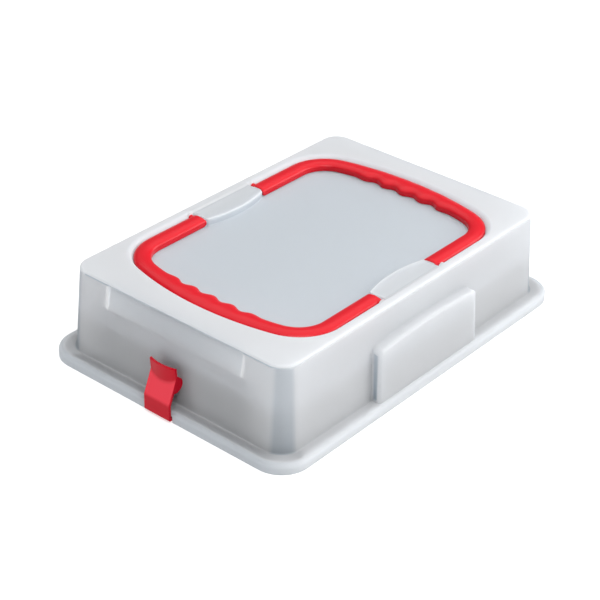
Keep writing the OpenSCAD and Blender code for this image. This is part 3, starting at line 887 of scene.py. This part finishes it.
pin_from, pin_to = well_half[1] - handle_gap - pin_root, well_half[1] - handle_gap + pin_length
pins = [blunt_bar((-hinge_x, hinge_z), pin_r, low, high)
        for low, high in ((pin_from, pin_to), (-pin_to, -pin_from))]
for name, way in (("handle_left", 1), ("handle_right", -1)):
    points, faces = joined([handle_body(), *pins])
    handle = surface("red_" + name, points * [way, way, 1], faces, red_gloss, sharp=50)
    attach(handle, name)
    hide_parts(name)

# Locking clips
# Each clip is a red moulding that turns on the hood's bar: a plate with a bend, a bulging finger
# lip on top, a hook under the pan's rim, and two round cheeks behind that hold the bar.
clip_half = 15.3
clip_thick = 2.6
clip_out = 213.0
clip_low = 1.4
foot_z = 3.6
bend_z = 18.5
inner_bend_drop = 1.2
waist = (203.8, 41.7)
lip_top = 53.5
lip_slope = math.tan(math.radians(6))
lip_bulge = 2.6
lip_round = 0.4
hook_end = 203.6
hook_top = 4.2
lobe_at = (202.8, 35.5)
lobe_r = 7.8
lobe_sunk = 0.6
cheek_at = (10.0, 15.25)
clip_edge_r = 0.35
lean_in = (clip_out - waist[0]) / (waist[1] - bend_z)
clip_red = (0.45, 0.001, 0.013)
# A lighter red painted on the face from the bend to the lip, standing in for light from above.
painted_lit_red = (0.68, 0.022, 0.045)


def clip_face(z, bulge):
    """Distance of the clip's outer face from the middle of the hood: plate, then lip.

    The plate stands upright and leans in above its bend. The lip leans out and bulges, and it meets
    the plate where the two surfaces cross."""
    plate = clip_out - np.maximum(z - bend_z, 0) * lean_in
    lip = waist[0] + lip_bulge * bulge + lip_slope * (z - waist[1])
    return np.maximum(plate, lip)


def clip_plate():
    """The clip's plate, lip and hook: a closed outline at each station across the width.

    It runs up the outer face and over the lip, then down the inner face and round the hook. The
    third result is the painted light at each point, which is full from the bend to the lip: that
    face is painted a lighter red, as if lit from above."""
    y = np.linspace(-clip_half, clip_half, 25)
    bulge = 1 - (y / clip_half) ** 2
    fold = waist[1] - bulge * lip_bulge / (lean_in + lip_slope)
    inner = clip_out - clip_thick
    rows = [(clip_out - 2.2, clip_low), (clip_out - 1.2, 1.6), (clip_out - 0.3, 2.4),
            (clip_out, foot_z)]
    heights = [foot_z + (bend_z - foot_z) * share for share in (0.3, 0.6, 0.85, 1.0)]
    bend_row = len(rows) + len(heights) - 1
    heights += [bend_z + (fold - bend_z) * share for share in (0.1, 0.35, 0.6, 0.85, 1.0)]
    fold_row = len(rows) + len(heights) - 1
    lip_rise = lip_top - lip_round - fold
    heights += [fold + lip_rise * share for share in (0.12, 0.35, 0.6, 0.8, 0.95)]
    rows += [(clip_face(z, bulge), z) for z in heights]
    lip = clip_face(lip_top, bulge)
    rows += [(lip - 0.5, lip_top - 0.1), (lip - clip_thick * 0.7, lip_top),
             (lip - clip_thick + 0.1, lip_top - lip_round)]
    for z in [fold + lip_rise * share for share in (0.8, 0.5, 0.2, 0.0)]:
        rows.append((clip_face(z, bulge) - clip_thick, z))
    for share in (0.7, 0.35, 0.0):
        z = bend_z - inner_bend_drop + (fold - bend_z + inner_bend_drop) * share
        leaning = np.maximum(z - bend_z + inner_bend_drop, 0) * lean_in
        rows.append((clip_out - leaning - clip_thick, z))
    rows += [(inner, 12.0), (inner, 7.0), (inner, 4.6), (inner - 0.4, hook_top),
             (inner - 2.6, hook_top), (hook_end + 0.3, 3.65), (hook_end, 3.3),
             (hook_end + 0.1, 2.9), (hook_end + 1.6, 1.5), (hook_end + 2.2, clip_low)]
    x, z = (np.stack([row[i] + 0 * y for row in rows], 1) for i in (0, 1))
    points, faces = tube(np.stack([x, np.repeat(y[:, None], len(rows), 1), z], -1))
    painted_light = np.zeros(len(rows))
    painted_light[bend_row:fold_row + 1] = 1
    painted_light[[bend_row, fold_row]] = 0.4
    return points, [face[::-1] for face in faces], np.tile(painted_light, len(y))


def clip_cheek(low, high):
    """One cheek: a disc cut off where the plate's inner face is."""
    turn = np.linspace(0, 2 * np.pi, 56, endpoint=False)
    z = lobe_at[1] + lobe_r * np.sin(turn)
    x = np.minimum(lobe_at[0] + lobe_r * np.cos(turn), clip_face(z, 0) - lobe_sunk)
    return slab(np.column_stack([x, z]), low, high)


red_clip, clip_tree, clip_shader = principled("red_clip_plastic", clip_red, roughness=0.34)
add_grain(clip_tree, clip_shader, size=0.0012, depth=0.00003)
clip_shader.inputs["Specular IOR Level"].default_value = 0.12
# Painted light: the face from the bend to the lip takes a lighter red, as if lit from above.
clip_tint = colour_mix(clip_tree, point_value(clip_tree, "painted_light"), clip_red, painted_lit_red)
clip_tree.links.new(clip_tint, clip_shader.inputs["Base Color"])

*plate, plate_painted_light = clip_plate()
points, faces = joined([plate, clip_cheek(*cheek_at), clip_cheek(-cheek_at[1], -cheek_at[0])])
painted_light = np.concatenate([plate_painted_light, np.zeros(len(points) - len(plate_painted_light))])
for name, way in (("clip_left", -1), ("clip_right", 1)):
    clip = surface("red_" + name, points * [way, way, 1], faces, red_clip, sharp=14)
    set_point_values(clip, "painted_light", painted_light)
    bevel = clip.modifiers.new("rounded_edges", "BEVEL")
    bevel.width = clip_edge_r * MM
    bevel.segments = 3
    bevel.limit_method = "ANGLE"
    bevel.angle_limit = math.radians(50)
    bevel.harden_normals = False
    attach(clip, name)
    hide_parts(name)

# Table and light
# A wide white table glows a little, so that it runs out of the picture as plain white. A big soft
# box hangs over it, with a key light in front, a wide window at the right, a small card at the
# left, and an even white room round them.
table_half = 40
table_drop = 0.0002
table_grey = (0.5, 0.5, 0.5)
table_glow = 0.6
room_strength = 0.18
table_white, _, table_shader = principled("white_table", table_grey, roughness=0.8)
table_shader.inputs["Emission Color"].default_value = (1, 1, 1, 1)
table_shader.inputs["Emission Strength"].default_value = table_glow
table_mesh = bpy.data.meshes.new("table_top")
table_mesh.from_pydata([(x * table_half, y * table_half, -table_drop)
                        for x, y in ((-1, -1), (1, -1), (1, 1), (-1, 1))], [], [(0, 1, 2, 3)])
table_mesh.materials.append(table_white)
table = bpy.data.objects.new("table_top", table_mesh)
bpy.context.scene.collection.objects.link(table)


def placed(holder, right, up, back, at):
    """Places a light or camera by its three directions and its place, and links it."""
    matrix = np.eye(4)
    matrix[:3, 0], matrix[:3, 1], matrix[:3, 2], matrix[:3, 3] = right, up, back, at
    holder.matrix_world = [list(row) for row in matrix.T]
    bpy.context.scene.collection.objects.link(holder)


def soft_light(name, at, towards, size, power):
    """A soft light, facing a point of the object, with places and size in metres and watts."""
    lamp = bpy.data.lights.new(name, "AREA")
    lamp.shape = "RECTANGLE"
    lamp.size, lamp.size_y = size
    lamp.energy = power
    back = np.array(at, float) - np.array(towards, float)
    back /= np.linalg.norm(back)
    across = np.cross([0, 0, 1], back) + [1e-6, 0, 0]
    across /= np.linalg.norm(across)
    placed(bpy.data.objects.new(name, lamp), across, np.cross(back, across), back, at)


soft_light("ceiling_box", at=(0.5, 0.4, 1.9), towards=(0.4, 0.3, 0), size=(3.0, 3.0), power=36)
soft_light("key_front", at=(-0.8, -0.95, 1.9), towards=(0, 0, 0.05), size=(1.2, 1.0), power=30)
soft_light("window_right", at=(1.3, -1.35, 0.85), towards=(0, 0, 0.05), size=(2.6, 1.4), power=46)
soft_light("card_left", at=(-0.965, 0.485, 0.095), towards=(-0.21, 0, 0.03), size=(0.3, 0.2),
           power=1.5)
room = bpy.data.worlds.new("white_room")
room.use_nodes = True
room_shader = room.node_tree.nodes["Background"]
room_shader.inputs["Color"].default_value = (1, 1, 1, 1)
room_shader.inputs["Strength"].default_value = room_strength
bpy.context.scene.world = room
bpy.context.scene.view_settings.view_transform = "Standard"

# Camera
# The photograph is taken from the clip end and the right long side, 1.6 m away, with a long lens
# that looks 31 degrees down and rolls by two degrees.
camera_target = (-0.03046, -0.01136, 0.045)
camera_distance = 1.6012
camera_yaw = math.radians(39.233)
camera_pitch = math.radians(31.485)
camera_roll = math.radians(-1.885)
focal_pixels = 1694.6
frame_pixels = 600
sensor_width = 36

ahead = np.array([math.cos(camera_yaw) * math.cos(camera_pitch),
                  math.sin(camera_yaw) * math.cos(camera_pitch), -math.sin(camera_pitch)])
level = np.array([math.sin(camera_yaw), -math.cos(camera_yaw), 0])
down = np.cross(ahead, level)
right = math.cos(camera_roll) * level + math.sin(camera_roll) * down
upward = math.sin(camera_roll) * level - math.cos(camera_roll) * down
camera_data = bpy.data.cameras.new("camera")
camera_data.sensor_width = sensor_width
camera_data.lens = sensor_width * focal_pixels / frame_pixels
camera = bpy.data.objects.new("camera", camera_data)
placed(camera, right, upward, -ahead, np.array(camera_target) - camera_distance * ahead)
bpy.context.scene.camera = camera
